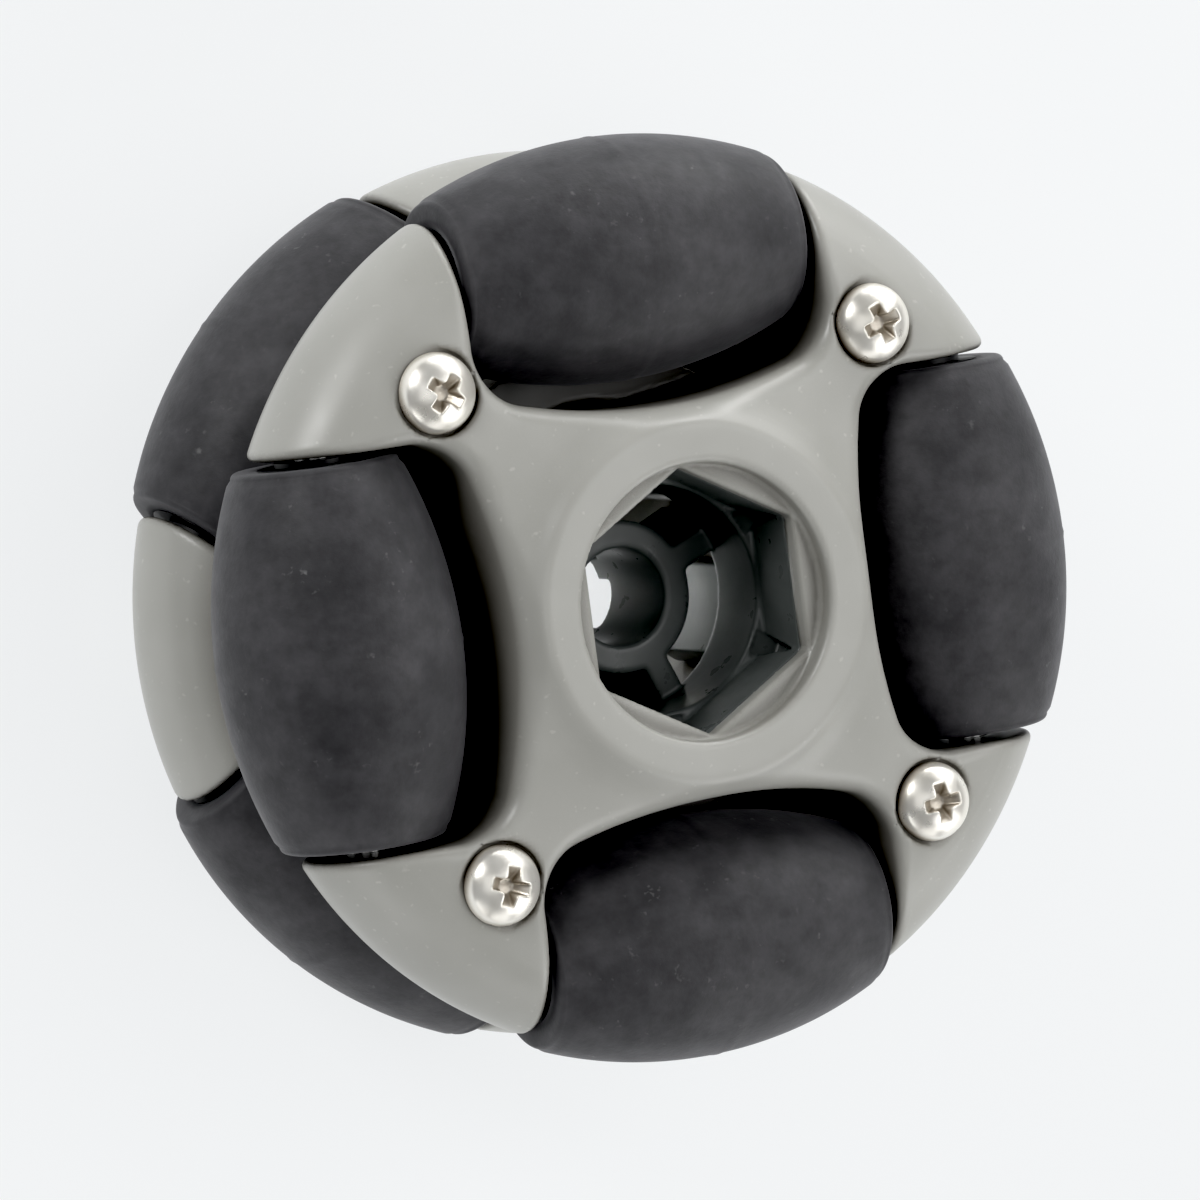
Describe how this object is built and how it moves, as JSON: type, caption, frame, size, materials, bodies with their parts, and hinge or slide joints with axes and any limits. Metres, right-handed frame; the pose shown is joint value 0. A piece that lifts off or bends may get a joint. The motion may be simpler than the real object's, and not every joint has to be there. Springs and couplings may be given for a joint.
{
  "type": "omni wheel",
  "caption": "Double-row omni wheel: free-turning rubber barrel rollers in screwed plastic shells, with a hexagonal socket and a ribbed axle adapter.",
  "frame": {"origin": "centre of the wheel, on its spin axis and midway between the two boss faces", "axes": "+Z along the spin axis, out of the front face; +X towards the first front roller; the wheel lies on its rear boss face"},
  "size_m": [0.048, 0.048, 0.0255],
  "materials": {
    "housing_plastic": "warm light grey moulded plastic, satin",
    "adapter_plastic": "black moulded plastic with a greenish grey cast, half gloss",
    "roller_rubber": "matte charcoal rubber with a fine grain and a little dust",
    "core_plastic": "black moulded plastic",
    "pin_steel": "ground steel pin",
    "screw_metal": "bright nickel plated steel"
  },
  "bodies": {
    "hub": {"front_cover": "housing_plastic", "centre_hub": "housing_plastic", "rear_cover": "housing_plastic", "axle_adapter": "adapter_plastic", "front_screws": "screw_metal", "rear_screws": "screw_metal", "front_roller_pin_1": "pin_steel", "front_roller_pin_2": "pin_steel", "front_roller_pin_3": "pin_steel", "front_roller_pin_4": "pin_steel", "rear_roller_pin_1": "pin_steel", "rear_roller_pin_2": "pin_steel", "rear_roller_pin_3": "pin_steel", "rear_roller_pin_4": "pin_steel"},
    "front_roller_1": {"front_roller_tyre_1": "roller_rubber", "front_roller_core_1": "core_plastic"},
    "front_roller_2": {"front_roller_tyre_2": "roller_rubber", "front_roller_core_2": "core_plastic"},
    "front_roller_3": {"front_roller_tyre_3": "roller_rubber", "front_roller_core_3": "core_plastic"},
    "front_roller_4": {"front_roller_tyre_4": "roller_rubber", "front_roller_core_4": "core_plastic"},
    "rear_roller_1": {"rear_roller_tyre_1": "roller_rubber", "rear_roller_core_1": "core_plastic"},
    "rear_roller_2": {"rear_roller_tyre_2": "roller_rubber", "rear_roller_core_2": "core_plastic"},
    "rear_roller_3": {"rear_roller_tyre_3": "roller_rubber", "rear_roller_core_3": "core_plastic"},
    "rear_roller_4": {"rear_roller_tyre_4": "roller_rubber", "rear_roller_core_4": "core_plastic"}
  },
  "joints": [
    {"name": "front_roller_1_spin", "type": "hinge", "parent": "hub", "child": "front_roller_1", "pos_m": [0.01763, 0, 0.00595], "axis": [0, 1, 0], "continuous": true},
    {"name": "front_roller_2_spin", "type": "hinge", "parent": "hub", "child": "front_roller_2", "pos_m": [0, 0.01763, 0.00595], "axis": [-1, 0, 0], "continuous": true},
    {"name": "front_roller_3_spin", "type": "hinge", "parent": "hub", "child": "front_roller_3", "pos_m": [-0.01763, 0, 0.00595], "axis": [0, -1, 0], "continuous": true},
    {"name": "front_roller_4_spin", "type": "hinge", "parent": "hub", "child": "front_roller_4", "pos_m": [0, -0.01763, 0.00595], "axis": [1, 0, 0], "continuous": true},
    {"name": "rear_roller_1_spin", "type": "hinge", "parent": "hub", "child": "rear_roller_1", "pos_m": [0.01247, 0.01247, -0.00595], "axis": [-0.7071, 0.7071, 0], "continuous": true},
    {"name": "rear_roller_2_spin", "type": "hinge", "parent": "hub", "child": "rear_roller_2", "pos_m": [-0.01247, 0.01247, -0.00595], "axis": [-0.7071, -0.7071, 0], "continuous": true},
    {"name": "rear_roller_3_spin", "type": "hinge", "parent": "hub", "child": "rear_roller_3", "pos_m": [-0.01247, -0.01247, -0.00595], "axis": [0.7071, -0.7071, 0], "continuous": true},
    {"name": "rear_roller_4_spin", "type": "hinge", "parent": "hub", "child": "rear_roller_4", "pos_m": [0.01247, -0.01247, -0.00595], "axis": [0.7071, 0.7071, 0], "continuous": true}
  ]
}
